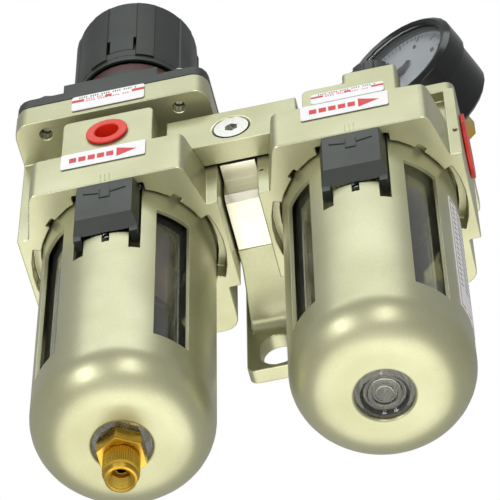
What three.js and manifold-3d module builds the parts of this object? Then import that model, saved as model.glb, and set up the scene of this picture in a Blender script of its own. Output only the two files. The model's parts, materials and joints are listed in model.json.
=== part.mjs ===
// A filter regulator lubricator: the air preparation unit of a compressed-air line, hung on a wall bracket.
// Air enters on the left, is filtered and regulated, passes the spacer and takes up oil on the right.
//
// Millimetres. +X points to the outlet, +Y into the wall, +Z up, with the bowls hanging down.
// The origin is the centre of the bracket's wall face, at the height of the ports.
// Each head is drawn about its own bowl axis, with z = 0 at the ports, and its group carries it there.

import * as THREE from "three";
import { mergeVertices } from "three/addons/utils/BufferGeometryUtils.js";
import Module from "manifold-3d";

const wasm = await Module();
wasm.setup();

// ---------------------------------------------------------------- driving dimensions

const portSpan = 70; // one head, from port face to port face
const spacerGap = 14; // between the two heads
const axisToWall = 50; // bowl axis to the wall
const gap = 0.3; // left between pieces that touch

const collarBottom = -31.5; // lower face of the collar that holds the bowl
const collarTop = -9.6;
const neckTop = 17.3; // underside of the regulator's square flange
const flangeTop = 28.7;
const flangeCorner = 5.5;
const lubricatorTop = 16.5;
const plateThickness = 6; // top plate of the lubricator

const guardWall = 1.4;
const guardBottom = -135.5;
const guardCorner = 14; // rounding between the guard's side and its floor
const guardHole = 9.5;
const bowlWall = 2.5;
const bayonetTurn = 45; // degrees between locked and free

const knobRadius = 23.2;
const knobBottom = 70;
const knobTop = 114;
const knobPull = 3.5; // the knob stands pulled up and free to turn

const portRadius = 9.3; // half-inch pipe thread, at its minor diameter
const gaugePortRadius = 6; // quarter-inch pipe thread
const bracketHalfHeight = 45;
const gaugeRadius = 24;
const gaugeDepth = 26.5;

// ---------------------------------------------------------------- sizes that follow

const halfSpan = portSpan / 2;
const headX = halfSpan + spacerGap / 2;
const sideHalf = halfSpan - 4; // the heads' sides stand back from the port faces
const guardRadius = sideHalf - 1.5;
const bowlRadius = guardRadius - guardWall - 1.6;
const frontDepth = guardRadius + 4.5; // bowl axis to the front face
const rearDepth = guardRadius + 5.5; // bowl axis to the rear face
const frontFlatHalf = sideHalf - 4.5;
const portFlangeHalf = halfSpan / 2;
const clawWidth = 3.9;
const clawDepth = 4;
const clawPocket = clawWidth + 2 * gap;
const neckFront = portFlangeHalf + 0.5;
const neckHalf = sideHalf - clawPocket;
const bossHalf = neckHalf - 10.5; // raised middle of the neck's front
const bowlBore = guardRadius + 0.9;
const bowlCeiling = collarBottom + 13.5;
const lugRadius = bowlBore + 2.4;
const lugHeight = 3.2;
const lugHalfAngle = 20; // degrees
const ledge = 2.9; // of the collar, under the lugs
const guardTop = collarBottom + 7.3;
const windowTop = collarBottom - 9.5;
const windowBottom = guardBottom + guardCorner + 8;
const windowAzimuth = 45; // degrees either side of the front
const windowWidth = 12.8;
const latchHalf = 11.1;
const latchTop = collarBottom - 0.4;
const latchLength = 25;
const latchFoot = latchTop - latchLength;
const bowlBottom = guardBottom + guardWall + 1.6;
const drainTop = guardBottom + 0.4;

// ---------------------------------------------------------------- colours

const finish = {
  champagne: { color: 0xb9b596, roughness: 0.42, metalness: 0.6 },
  aluminium: { color: 0xc9c8bd, roughness: 0.35, metalness: 1 },
  steel: { color: 0xc6c6c4, roughness: 0.3, metalness: 1 },
  brass: { color: 0xc9a13b, roughness: 0.3, metalness: 1 },
  slate: { color: 0x4c534d, roughness: 0.6, metalness: 0 },
  black: { color: 0x141512, roughness: 0.35, metalness: 0 },
  red: { color: 0xd9301f, roughness: 0.45, metalness: 0 },
  darkRed: { color: 0x7a1f1c, roughness: 0.5, metalness: 0 },
  rubber: { color: 0x1c1c1c, roughness: 0.8, metalness: 0 },
  sintered: { color: 0xb58a78, roughness: 0.9, metalness: 0 },
  clear: { color: 0xa9aaa0, roughness: 0.1, metalness: 0, opacity: 0.4, transparent: true },
  white: { color: 0xeceae6, roughness: 0.55, metalness: 0 },
};

// ---------------------------------------------------------------- solids

// A manifold-3d solid from a closed three.js geometry, turned to face outwards.
function solid(geometry) {
  geometry.deleteAttribute("normal");
  geometry.deleteAttribute("uv");
  const merged = mergeVertices(geometry, 1e-4);
  const triVerts = new Uint32Array(merged.index.array);
  const vertProperties = new Float32Array(merged.attributes.position.array);
  const made = new wasm.Manifold(new wasm.Mesh({ numProp: 3, vertProperties, triVerts }));
  if (made.volume() >= 0) return made;
  for (let i = 0; i < triVerts.length; i += 3) {
    [triVerts[i + 1], triVerts[i + 2]] = [triVerts[i + 2], triVerts[i + 1]];
  }
  return new wasm.Manifold(new wasm.Mesh({ numProp: 3, vertProperties, triVerts }));
}

function box(x0, x1, y0, y1, z0, z1) {
  const geometry = new THREE.BoxGeometry(x1 - x0, y1 - y0, z1 - z0);
  geometry.translate((x0 + x1) / 2, (y0 + y1) / 2, (z0 + z1) / 2);
  return solid(geometry);
}

// A cylinder or a cone along Z, from z0 to z1.
function post(radius, z0, z1, { x = 0, y = 0, top = radius, segments = 18 } = {}) {
  const geometry = new THREE.CylinderGeometry(top, radius, z1 - z0, segments);
  geometry.rotateX(Math.PI / 2);
  geometry.translate(x, y, (z0 + z1) / 2);
  return solid(geometry);
}

// The same along X and along Y.
function postX(radius, x0, x1, { y = 0, z = 0, top = radius, segments = 18 } = {}) {
  return post(radius, x0, x1, { top, segments }).rotate([0, 90, 0]).translate([0, y, z]);
}

function postY(radius, y0, y1, { x = 0, z = 0, top = radius, segments = 18 } = {}) {
  return post(radius, y0, y1, { top, segments }).rotate([-90, 0, 0]).translate([x, 0, z]);
}

function hexPost(acrossFlats, z0, z1, place = {}) {
  return post(acrossFlats / Math.sqrt(3), z0, z1, { ...place, segments: 6 });
}

// A ring about Z.
function ring(inner, outer, z0, z1, segments = 24) {
  const profile = [[inner, z0], [outer, z0], [outer, z1], [inner, z1], [inner, z0]];
  return turned(profile, segments);
}

// A body turned about Z from a profile of [radius, height] points.
function turned(profile, segments = 22) {
  const points = profile.map(([radius, height]) => new THREE.Vector2(radius, height));
  return solid(new THREE.LatheGeometry(points, segments).rotateX(Math.PI / 2));
}

// Points along an arc of a circle, by default three steps, with angles in degrees from the first axis.
function arc(centreR, centreZ, radius, from, to, steps = 3) {
  return Array.from({ length: steps + 1 }, (_, i) => {
    const angle = THREE.MathUtils.degToRad(from + ((to - from) * i) / steps);
    return [centreR + radius * Math.cos(angle), centreZ + radius * Math.sin(angle)];
  });
}

// An upright prism of a closed outline of [x, y] points.
function prism(outline, z0, z1) {
  const shape = new THREE.Shape(outline.map(([x, y]) => new THREE.Vector2(x, y)));
  const options = { depth: z1 - z0, bevelEnabled: false };
  return solid(new THREE.ExtrudeGeometry(shape, options).translate(0, 0, z0));
}

function mirrored(half) {
  return [...half, ...half.map(([x, y]) => [-x, y]).reverse()];
}

// The points of a rounded corner, which starts and ends at a reach from it.
function bend(before, corner, after, reach) {
  const tip = new THREE.Vector2(...corner);
  const [start, end] = [before, after].map((other) => (
    new THREE.Vector2(...other).sub(tip).setLength(reach).add(tip)
  ));
  return new THREE.QuadraticBezierCurve(start, tip, end).getPoints(3).map(({ x, y }) => [x, y]);
}

function roundedBox(x0, x1, y0, y1, z0, z1, radius, steps = 4) {
  const corner = (x, y, from) => arc(x, y, radius, from, from + 90, steps);
  const outline = [
    ...corner(x1 - radius, y1 - radius, 0),
    ...corner(x0 + radius, y1 - radius, 90),
    ...corner(x0 + radius, y0 + radius, 180),
    ...corner(x1 - radius, y0 + radius, 270),
  ];
  return prism(outline, z0, z1);
}

// A slice of a disc about Z, centred on an azimuth in degrees.
function sector(radius, azimuth, halfAngle, z0, z1) {
  const steps = Math.ceil(halfAngle / 5);
  const outline = [[0, 0], ...arc(0, 0, radius, azimuth - halfAngle, azimuth + halfAngle, steps)];
  return prism(outline, z0, z1);
}

const join = (...parts) => parts.reduce((sum, part) => sum.add(part));
const cut = (whole, ...parts) => parts.reduce((rest, part) => rest.subtract(part), whole);

// A compression spring about Z: a round wire swept along a helix.
function coil(radius, wire, z0, z1, turns, { x = 0, y = 0, perTurn = 9 } = {}) {
  class Helix extends THREE.Curve {
    getPoint(t, target = new THREE.Vector3()) {
      const angle = 2 * Math.PI * turns * t;
      const z = z0 + wire + (z1 - z0 - 2 * wire) * t;
      return target.set(radius * Math.cos(angle), radius * Math.sin(angle), z);
    }
  }
  const section = new THREE.Shape(arc(0, 0, wire, 0, 270).map(([u, v]) => new THREE.Vector2(u, v)));
  const steps = Math.round(turns * perTurn);
  const options = { steps, extrudePath: new Helix(), bevelEnabled: false };
  return solid(new THREE.ExtrudeGeometry(section, options)).translate([x, y, 0]);
}

// ---------------------------------------------------------------- the assembly's frame

const assembly = new THREE.Group();
const filterSide = new THREE.Group();
const lubricatorSide = new THREE.Group();
filterSide.position.set(-headX, -axisToWall, 0);
lubricatorSide.position.set(headX, -axisToWall, 0);
const joiningParts = new THREE.Group();
joiningParts.position.set(0, -axisToWall, 0);
assembly.add(filterSide, lubricatorSide, joiningParts);

// Adds a solid to a group as one named mesh.
function add(group, name, body, look) {
  const mesh = body.asOriginal().simplify(0.005).getMesh();
  const geometry = new THREE.BufferGeometry();
  geometry.setAttribute("position", new THREE.BufferAttribute(mesh.vertProperties, 3));
  geometry.setIndex(new THREE.BufferAttribute(mesh.triVerts, 1));
  const flat = geometry.toNonIndexed();
  flat.computeVertexNormals();
  const part = new THREE.Mesh(flat, new THREE.MeshStandardMaterial(look));
  part.name = name;
  group.add(part);
  return part;
}

// ---------------------------------------------------------------- the two heads

function collar() {
  const corner = 5;
  const half = [
    ...bend([0, -frontDepth], [frontFlatHalf, -frontDepth], [sideHalf, -portFlangeHalf], 2.5),
    [sideHalf, -portFlangeHalf],
    [halfSpan, -portFlangeHalf],
    [halfSpan, portFlangeHalf],
    [sideHalf, portFlangeHalf],
    ...arc(sideHalf - corner, rearDepth - corner, corner, 0, 90, 4),
  ];
  return prism(mirrored(half), collarBottom, collarTop);
}

// A boss on a head's front, from the collar up, with rounded upper corners.
function frontBoss(x0, x1, top, radius) {
  const flat = roundedBox(x0, x1, collarTop - 5, top, portFlangeHalf, frontDepth, radius, 3);
  return flat.rotate([90, 0, 0]);
}

// The waist between collar and top, with pockets behind the port flanges for the claws.
function neck(top) {
  const pocketY = portFlangeHalf - clawDepth;
  const half = [
    [neckHalf, -neckFront],
    [neckHalf, -pocketY],
    [sideHalf, -pocketY],
    [sideHalf, -portFlangeHalf],
    [halfSpan, -portFlangeHalf],
    [halfSpan, portFlangeHalf],
    [sideHalf, portFlangeHalf],
    [sideHalf, pocketY],
    [neckHalf, pocketY],
    [neckHalf, rearDepth],
  ];
  return prism(mirrored(half), collarTop, top);
}

// The hollow under a head: bowl bore, bayonet entries and grooves, latch notch and alignment notches.
function bowlSocket() {
  const entryHalfAngle = lugHalfAngle + 3;
  const grooveBottom = collarBottom + ledge;
  const grooveTop = grooveBottom + lugHeight + 0.8;
  const cuts = [post(bowlBore, collarBottom - 1, bowlCeiling, { segments: 36 })];
  for (const side of [0, 180]) {
    cuts.push(sector(lugRadius + 0.4, side, entryHalfAngle, collarBottom - 1, grooveTop));
    const grooveHalf = entryHalfAngle + bayonetTurn / 2;
    cuts.push(sector(lugRadius + 0.4, side - bayonetTurn / 2, grooveHalf, grooveBottom, grooveTop));
  }
  cuts.push(box(-12.4, 12.4, -guardRadius - 1.1, -20, collarBottom - 1, collarBottom + 5));
  for (const azimuth of [-135, -45]) {
    const notch = box(0, guardRadius + 2.4, -1.75, 1.75, collarBottom - 1, collarBottom + 4);
    cuts.push(notch.rotate([0, 0, azimuth]));
  }
  return join(...cuts);
}

function filterRegulatorBody() {
  const boss = frontBoss(-bossHalf, bossHalf, 12, 2);
  const flange = roundedBox(-halfSpan, halfSpan, -frontDepth, rearDepth, neckTop, flangeTop, flangeCorner);
  const whole = join(collar(), neck(neckTop + 1), boss, flange);
  const seatZ = -4;
  const passages = [
    postX(portRadius, -halfSpan - 1, -17),
    post(5, bowlCeiling - 1, 0, { x: -21, segments: 14 }),
    post(8, bowlCeiling - 1, seatZ),
    post(4.5, seatZ - 1, 6, { segments: 14 }),
    postX(4.5, 0, 14, { z: 3, segments: 14 }),
    postX(portRadius, 12, halfSpan + 1),
    post(2.3, 5, flangeTop, { segments: 10 }),
    post(diaphragmRadius - 5, flangeTop - 5, flangeTop + 1),
    post(1.5, 5, flangeTop, { x: 15, segments: 8 }),
    postY(gaugePortRadius, -frontDepth - 1, -20),
    postY(2, -21, 0, { z: 3, segments: 8 }),
  ];
  for (const [x, y] of bonnetScrewPlaces) {
    passages.push(post(bonnetScrewHole, neckTop - 1, flangeTop + 1, { x, y, segments: 10 }));
  }
  return cut(whole, bowlSocket(), ...passages);
}

const fillPlug = { x: 8.1, y: -23.5, radius: 9.3, top: 18, boss: 7.3 };

function lubricatorBody() {
  const plateBottom = lubricatorTop - plateThickness;
  const lowBoss = frontBoss(-bossHalf + 0.5, fillPlug.x, 1.1, 2.5);
  const fillLeft = fillPlug.x - 9.5;
  const fillRight = fillPlug.x + 9.5;
  const fillBoss = roundedBox(fillLeft, fillRight, -frontDepth, -12, collarTop - 1, fillPlug.boss, 1.5, 3);
  const plateFront = -portFlangeHalf;
  const plate = roundedBox(-halfSpan, halfSpan, plateFront, rearDepth, plateBottom, lubricatorTop, 3, 3);
  const whole = join(collar(), neck(plateBottom + 1), lowBoss, fillBoss, plate);
  const passages = [
    postX(portRadius, -halfSpan - 1, -12),
    postX(portRadius, 12, halfSpan + 1),
    postX(7.5, -13, 13),
    post(9, 12, lubricatorTop + 1, { segments: 28 }),
    post(1.2, 7, 13, { x: 4, segments: 8 }),
    post(2.5, bowlCeiling - 1, 13, { y: 14, segments: 10 }),
    box(-2, 2, 6, 15, 12, lubricatorTop - 1.5),
    post(fillPlug.radius + 1, fillPlug.boss, lubricatorTop + 1, { x: fillPlug.x, y: fillPlug.y }),
    post(5.2, bowlCeiling - 1, fillPlug.boss + 1, { x: fillPlug.x, y: fillPlug.y, segments: 24 }),
    post(2.6, 8, lubricatorTop + 1, { x: riser.x, y: riser.y, segments: 10 }),
    postX(2, riser.x - 8, halfSpan - 10, { y: 6, z: 8.5, segments: 8 }),
  ];
  const dowelHole = { z: collarTop - 7, segments: 8 };
  for (const x of [1.5 - halfSpan, halfSpan - 1.5]) {
    passages.push(postY(0.8, -portFlangeHalf - 1, -portFlangeHalf + 2.5, { x, ...dowelHole }));
  }
  return cut(whole, bowlSocket(), ...passages);
}

// ---------------------------------------------------------------- bowls, guards and latches

const bowlCornerZ = guardBottom + guardCorner;
const bowlInner = bowlRadius - bowlWall;
const bowlFlangeZ = guardTop + gap;
const bowlFlangeTop = bowlCeiling - 1.6;
const bowlCorner = guardCorner - 3;

// The outside of a bowl, from the foot of its boss up to the rim.
function bowlOutside(footRadius, footZ) {
  const centre = bowlRadius - bowlCorner;
  return [
    [footRadius, footZ],
    [footRadius, bowlBottom],
    ...arc(centre, bowlBottom + bowlCorner, bowlCorner, 270, 360),
    [bowlRadius, bowlFlangeZ - 1],
    [guardRadius - 1.1, bowlFlangeZ],
    [guardRadius - 1.1, bowlFlangeTop],
  ];
}

// The inside, from the rim down to the floor.
function bowlInside() {
  const corner = bowlCorner - bowlWall;
  const centre = bowlInner - corner;
  return [
    [bowlInner, bowlFlangeTop],
    ...arc(centre, bowlBottom + bowlWall + corner, corner, 0, -90),
  ];
}

const drainStemRadius = 4.5;

function filterBowl() {
  const bore = drainStemRadius + gap;
  const profile = [
    [bore, drainTop],
    ...bowlOutside(guardHole - 0.9, drainTop),
    ...bowlInside(),
    [bore, bowlBottom + bowlWall],
    [bore, drainTop],
  ];
  return turned(profile);
}

// The lubricator's bowl ends in a clear lens with two raised rings.
function lubricatorBowl() {
  const lensZ = guardBottom + 0.3;
  const profile = [
    [0, lensZ + 0.8],
    [2.6, lensZ + 0.8],
    [3.2, lensZ + 0.3],
    [5.6, lensZ + 0.3],
    [6.2, lensZ + 0.8],
    [guardHole - 1.6, lensZ],
    ...bowlOutside(guardHole - 0.9, lensZ),
    ...bowlInside(),
    [0, bowlBottom + bowlWall],
  ];
  return turned(profile);
}

function bowlSeal() {
  return ring(bowlInner + 0.4, bowlInner + 2.2, bowlFlangeTop + gap, bowlCeiling - gap);
}

// The sheet-metal guard round a bowl, with its lugs, windows and latch cut-out.
function bowlGuard() {
  const inner = guardRadius - guardWall;
  const cornerR = guardRadius - guardCorner;
  const shell = turned([
    [guardHole, guardBottom],
    ...arc(cornerR, bowlCornerZ, guardCorner, 270, 360),
    [guardRadius, guardTop],
    [inner, guardTop],
    ...arc(cornerR, bowlCornerZ, guardCorner - guardWall, 0, -90),
    [guardHole, guardBottom + guardWall],
    [guardHole, guardBottom],
  ], 36);
  const lugBottom = collarBottom + ledge + 0.4;
  const lugs = [-bayonetTurn, 180 - bayonetTurn].map((azimuth) => cut(
    sector(lugRadius, azimuth, lugHalfAngle, lugBottom, lugBottom + lugHeight),
    post(guardRadius - 0.5, lugBottom - 1, lugBottom + lugHeight + 1, { segments: 36 }),
  ));
  const openings = [];
  for (const side of [-90, 90]) {
    for (const azimuth of [side - windowAzimuth, side + windowAzimuth]) {
      const window = box(20, 40, -windowWidth / 2, windowWidth / 2, windowBottom, windowTop);
      openings.push(window.rotate([0, 0, azimuth]));
    }
  }
  const slotHalf = latchHalf + gap;
  const outside = -guardRadius - 10;
  const inside = 10 - guardRadius;
  openings.push(box(-slotHalf, slotHalf, outside, inside, latchFoot - 0.5, guardTop + 1));
  for (const side of [-1, 1]) {
    const leg = box(-2.05, 2.05, outside, inside, latchFoot - 9.5, latchFoot);
    openings.push(leg.translate([side * (slotHalf - 2.05), 0, 0]));
  }
  openings.push(box(-1.4, 1.4, outside, inside, latchFoot - 5, latchFoot));
  return cut(join(shell, ...lugs), ...openings);
}

// The sliding lock button: a wedge in front, rails beside, and a pocket for its spring behind.
function latch() {
  const frontY = -frontDepth + 0.3;
  const backY = -guardRadius - 0.4;
  const frontHalf = latchHalf - 1.5;
  const button = prism(mirrored([[frontHalf, frontY], [latchHalf, backY]]), latchFoot, latchTop);
  const slope = box(-20, 20, -8, 0, -12, 0).rotate([-51, 0, 0]).translate([0, backY, latchFoot]);
  const backHalf = latchHalf - 4;
  const back = box(-backHalf, backHalf, backY - 0.5, -bowlRadius - 0.8, latchFoot + 6, latchTop - 1);
  const tooth = box(-5, 5, 0.6 - guardRadius, 1.9 - guardRadius, latchTop - 3, latchTop + 4.9);
  const rails = [-1, 1].map((side) => {
    const rail = box(-1.3, 1.3, backY - 0.5, 3.5 - guardRadius, latchFoot - 2.6, latchTop - 1);
    return rail.translate([side * (latchHalf - 1.6), 0, 0]);
  });
  const pocket = box(-1.8, 1.8, backY - 0.1, 0, latchFoot, latchFoot + 15.6);
  return cut(join(cut(button, slope), back, tooth, ...rails), pocket);
}

const latchSpringTop = latchFoot + 15.3;
const latchSpringFoot = latchFoot - 4.7;

function latchSpring() {
  return coil(1.1, 0.3, latchSpringFoot, latchSpringTop, 6, { y: 1.3 - guardRadius, perTurn: 7 });
}

function addBowlSet(group, prefix, bowl) {
  add(group, `${prefix}_bowl`, bowl, finish.clear);
  add(group, `${prefix}_bowl_seal`, bowlSeal(), finish.rubber);
  add(group, `${prefix}_bowl_guard`, bowlGuard(), finish.champagne);
  add(group, `${prefix}_latch`, latch(), finish.slate);
  add(group, `${prefix}_latch_spring`, latchSpring(), finish.steel);
}

// ---------------------------------------------------------------- regulator

const bonnetScrewShank = 1.9;
const bonnetScrewHole = bonnetScrewShank + 0.4;
const bonnetScrewPlaces = [5.5 - frontDepth, rearDepth - 6].flatMap((y) => (
  [11 - halfSpan, halfSpan - 11].map((x) => [x, y])
));
const bonnetBottom = flangeTop + gap;
const diaphragmRadius = halfSpan - 8;
const diaphragmTop = bonnetBottom + 0.9;
const plateTop = bonnetBottom + 5;
const cylinderTop = knobBottom - 6;
const neckRadius = knobRadius - 3.1;
const bonnetTop = knobTop - 22;
const springRoom = 16;
const shoulderZ = bonnetTop - 4.3;
const seatTravel = 3;
const seatZ0 = shoulderZ - gap - seatTravel - 5;

function bonnet() {
  const side = halfSpan - gap;
  const corner = flangeCorner - gap;
  const plate = roundedBox(-side, side, -frontDepth, rearDepth - gap, bonnetBottom, plateTop, corner);
  const rib = box(-17, 17, -frontDepth, -10, plateTop - 1, plateTop + 5.2);
  const pads = bonnetScrewPlaces.map(([x, y]) => (
    post(5.2, plateTop - 1, plateTop + 1.4, { x, y, segments: 14 })
  ));
  const ears = [-1, 1].map((end) => {
    const ear = box(-2.5, 2.5, -24, -14, plateTop - 1, plateTop + 1.6);
    return ear.translate([end * (halfSpan - 3), 0, 0]);
  });
  const tower = turned([
    [0, plateTop - 1],
    [knobRadius - 0.6, plateTop - 1],
    [knobRadius - 0.6, cylinderTop - 1.5],
    [knobRadius - 2.1, cylinderTop],
    [neckRadius, cylinderTop],
    [neckRadius, bonnetTop - 1],
    [neckRadius - 1, bonnetTop],
    [0, bonnetTop],
  ], 36);
  const hollows = [
    post(diaphragmRadius + gap, bonnetBottom - 1, diaphragmTop, { segments: 36 }),
    post(springRoom, diaphragmTop - 1, bonnetTop - 2.3),
    post(3.4, bonnetTop - 3, bonnetTop + 1, { segments: 14 }),
  ];
  for (const [x, y] of bonnetScrewPlaces) {
    hollows.push(post(bonnetScrewHole, bonnetBottom - 1, plateTop + 3, { x, y, segments: 10 }));
  }
  return cut(join(plate, rib, tower, ...pads, ...ears), ...hollows);
}

// The knob's barrel has sunk panels between broad ribs, and a snap tongue in the front panel.
function knob() {
  const panels = 8;
  const outline = [];
  for (let i = 0; i < panels; i += 1) {
    const centre = (i * 360) / panels - 90;
    outline.push(...arc(0, 0, knobRadius - 0.6, centre - 13.5, centre + 13.5));
    outline.push(...arc(0, 0, knobRadius, centre + 14.5, centre + 30.5, 2));
  }
  const grip = prism(outline, knobBottom + 3, knobTop);
  const envelope = turned([
    [0, knobBottom],
    [knobRadius - 0.7, knobBottom],
    [knobRadius, knobBottom + 1.5],
    [knobRadius, knobTop - 4],
    ...arc(knobRadius - 3, knobTop - 3, 3, 0, 90, 3),
    [0, knobTop],
  ], 48);
  const skirt = post(knobRadius - 0.7, knobBottom, knobBottom + 4, { segments: 48 });
  const innerTop = knobTop - 6;
  const cavity = post(knobRadius - 1.5, knobBottom - 1, innerTop, { segments: 36 });
  const hub = post(6, bonnetTop + knobPull + 0.7, innerTop + 1, { segments: 24 });
  const hubBore = hexPost(6.8, bonnetTop, innerTop);
  const slots = [-5, 5].map((x) => box(x - 0.6, x + 0.6, -40, -15, knobBottom + 7, knobBottom + 16.5));
  const slit = box(-5, 5, -40, -15, knobBottom + 7, knobBottom + 7.4);
  const shell = cut(join(skirt, grip).intersect(envelope), cavity, slit, ...slots);
  return cut(join(shell, hub), hubBore);
}

function lockRing() {
  return ring(neckRadius + gap, knobRadius - 1.8, cylinderTop + gap, knobBottom - 1, 36);
}

function adjustingScrew() {
  const thread = post(3, diaphragmTop + 30, shoulderZ + 1, { segments: 14 });
  const shoulder = post(6.5, shoulderZ, bonnetTop - 2.3 - gap, { segments: 24 });
  const shank = post(3, shoulderZ, bonnetTop + 1, { segments: 14 });
  const drive = hexPost(6, bonnetTop + 0.5, knobTop - 6 - knobPull - 1);
  return join(thread, shoulder, shank, drive);
}

function springSeat() {
  const disc = post(springRoom - 1, seatZ0, seatZ0 + 2.5);
  const nut = hexPost(14, seatZ0, seatZ0 + 5);
  return cut(join(disc, nut), post(3.1, seatZ0 - 1, seatZ0 + 6, { segments: 14 }));
}

const hubTop = diaphragmTop + 3.4;

function diaphragm() {
  const sheet = post(diaphragmRadius, bonnetBottom, bonnetBottom + 0.6, { segments: 36 });
  const hub = post(14, bonnetBottom, hubTop);
  const springRim = ring(7.5, 9, hubTop - 1, hubTop + 1.5, 20);
  return cut(join(sheet, hub, springRim), post(1.2, bonnetBottom - 1, hubTop + 1, { segments: 8 }));
}

// The poppet that opens under the diaphragm, and what guides it.
function poppet() {
  const stem = post(2, -17, flangeTop - gap, { segments: 10 });
  const head = turned([[0, -7.5], [6.2, -7.5], [6.2, -5.5], [5, -4.3], [0, -4.3]], 20);
  return join(stem, head);
}

const guideTop = -14;

function valveGuide() {
  const plug = post(7.7, bowlCeiling - 1, guideTop);
  const flange = post(12, bowlCeiling - 4, bowlCeiling - gap);
  const nose = post(8.5, bowlCeiling - 8, bowlCeiling - 3);
  const holes = [post(2.3, bowlCeiling - 3, guideTop + 1, { segments: 10 })];
  for (let i = 0; i < 4; i += 1) {
    const angle = (Math.PI / 2) * (i + 0.5);
    const place = { x: 5.2 * Math.cos(angle), y: 5.2 * Math.sin(angle), segments: 8 };
    holes.push(post(1.4, bowlCeiling - 9, guideTop + 1, place));
  }
  holes.push(post(3.2, bowlCeiling - 9, bowlCeiling - 4.5, { segments: 14 }));
  return cut(join(plug, flange, nose), ...holes);
}

function bonnetScrew(x, y) {
  const head = post(3.6, plateTop + 1.4 + gap, plateTop + 4.4, { x, y, segments: 14 });
  const shank = post(bonnetScrewShank, neckTop + 5, plateTop + 2.4, { x, y, segments: 10 });
  const drive = hexPost(3, plateTop + 3, plateTop + 6, { x, y });
  return cut(join(head, shank), drive);
}

// ---------------------------------------------------------------- filter

const elementRadius = bowlInner - 9;
const elementTop = bowlCeiling - 9.3;
const elementBottom = elementTop - 45;
const baffleTop = elementBottom - gap;

// Turbine-like vanes that set the incoming air spinning.
function deflector() {
  const outer = bowlInner - 2.5;
  const hub = ring(9, outer - 5, bowlCeiling - 9, bowlCeiling - 4 - gap, 24);
  const rim = ring(outer - 5.5, outer, bowlCeiling - 5.6, bowlCeiling - 4 - gap, 24);
  const vanes = [];
  for (let i = 0; i < 12; i += 1) {
    const vane = box(outer - 6, outer, -0.5, 0.5, bowlCeiling - 9, bowlCeiling - 5);
    vanes.push(vane.rotate([0, 0, i * 30 + 15]));
  }
  return join(hub, rim, ...vanes);
}

function filterElement() {
  return ring(elementRadius - 5.5, elementRadius, elementBottom, elementTop);
}

// The dark umbrella under the element, with the stud that carries it all.
function baffle() {
  const rim = bowlInner - 3.5;
  const umbrella = turned([
    [0, baffleTop - 1.5],
    [rim - 2.5, baffleTop - 12],
    [rim, baffleTop - 12],
    [rim, baffleTop - 10.5],
    [elementRadius + 2, baffleTop - 1.5],
    [elementRadius, baffleTop],
    [0, baffleTop],
  ]);
  const stud = post(2.9, baffleTop - 1, bowlCeiling - 5.2, { segments: 14 });
  return join(umbrella, stud);
}

function drainBody() {
  const floor = bowlBottom + bowlWall;
  const hex = hexPost(14.4, drainTop - 6.4, drainTop - gap);
  const stem = post(drainStemRadius, drainTop - 1, floor + 1, { segments: 24 });
  const nut = hexPost(12, floor + gap, floor + 3);
  const spigot = post(3.4, drainTop - 12, drainTop - 6, { segments: 14 });
  return cut(join(hex, stem, nut, spigot), post(1.6, drainTop - 13, floor + 4, { segments: 8 }));
}

const drainKnobBottom = drainTop - 17.4;

function drainKnob() {
  const knurl = [];
  for (let i = 0; i < 20; i += 1) {
    knurl.push(...arc(0, 0, 6, i * 18, i * 18 + 8, 1));
    knurl.push(...arc(0, 0, 5.7, i * 18 + 9, i * 18 + 17, 1));
  }
  const grip = prism(knurl, drainKnobBottom + 2.5, drainTop - 6.7);
  const tip = post(5, drainKnobBottom, drainKnobBottom + 3, { segments: 28 });
  return cut(join(grip, tip), post(3.9, drainKnobBottom - 1, drainTop - 6, { segments: 24 }));
}

// ---------------------------------------------------------------- lubricator

const riser = { x: halfSpan - 7.5, y: rearDepth - 9.5 };
const domeRadius = 11.5;

function sightDome() {
  const z = lubricatorTop + gap;
  const profile = [
    [8.7, lubricatorTop - 3],
    [8.7, z],
    [domeRadius, z],
    [domeRadius, z + 9],
    ...arc(domeRadius - 4, z + 9, 4, 0, 60, 3),
    [5, z + 13],
    [3.3, z + 13],
    [3.3, z + 9],
    [6.4, z + 7],
    [6.4, lubricatorTop - 3],
    [8.7, lubricatorTop - 3],
  ];
  return turned(profile);
}

function feedScrew() {
  const z = lubricatorTop + gap;
  const needle = post(0.9, z - 1, z + 4, { top: 1.8, segments: 10 });
  const stem = post(3, z + 3, z + 14, { segments: 24 });
  const head = post(4.6, z + 13 + gap, z + 16, { segments: 28 });
  const slot = box(-0.5, 0.5, -6, 6, z + 15, z + 17);
  return cut(join(needle, stem, head), slot);
}

function fillPlugPiece() {
  const place = { x: fillPlug.x, y: fillPlug.y };
  const flutes = [];
  for (let i = 0; i < 12; i += 1) {
    flutes.push(...arc(0, 0, fillPlug.radius, i * 30 - 9, i * 30 + 9, 1));
    flutes.push(...arc(0, 0, fillPlug.radius - 0.6, i * 30 + 12, i * 30 + 18, 1));
  }
  const grip = prism(flutes, fillPlug.boss + gap, fillPlug.top - 2.5).translate([place.x, place.y, 0]);
  const crown = post(fillPlug.radius - 0.7, fillPlug.top - 3, fillPlug.top, { ...place, top: 7.5 });
  const thread = post(4.9, fillPlug.boss - 9, fillPlug.boss + 1, { ...place, segments: 24 });
  return join(grip, crown, thread);
}

// A soft flap that bends open as the flow grows.
function flowDamper() {
  const mount = cut(postX(7.2, -4, -2, { segments: 28 }), postX(4.2, -5, -1, { segments: 14 }));
  const flap = postX(3.8, -3.4, -2.6, { segments: 14 });
  const hinge = box(-3.4, -2.6, -1.5, 1.5, 3, 5);
  return join(mount, flap, hinge);
}

const tubeFoot = bowlBottom + bowlWall + 9;

function pickupTube() {
  const outer = post(2.3, tubeFoot, bowlCeiling + 10, { y: 14, segments: 10 });
  return cut(outer, post(1.4, tubeFoot - 1, bowlCeiling + 11, { y: 14, segments: 8 }));
}

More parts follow.
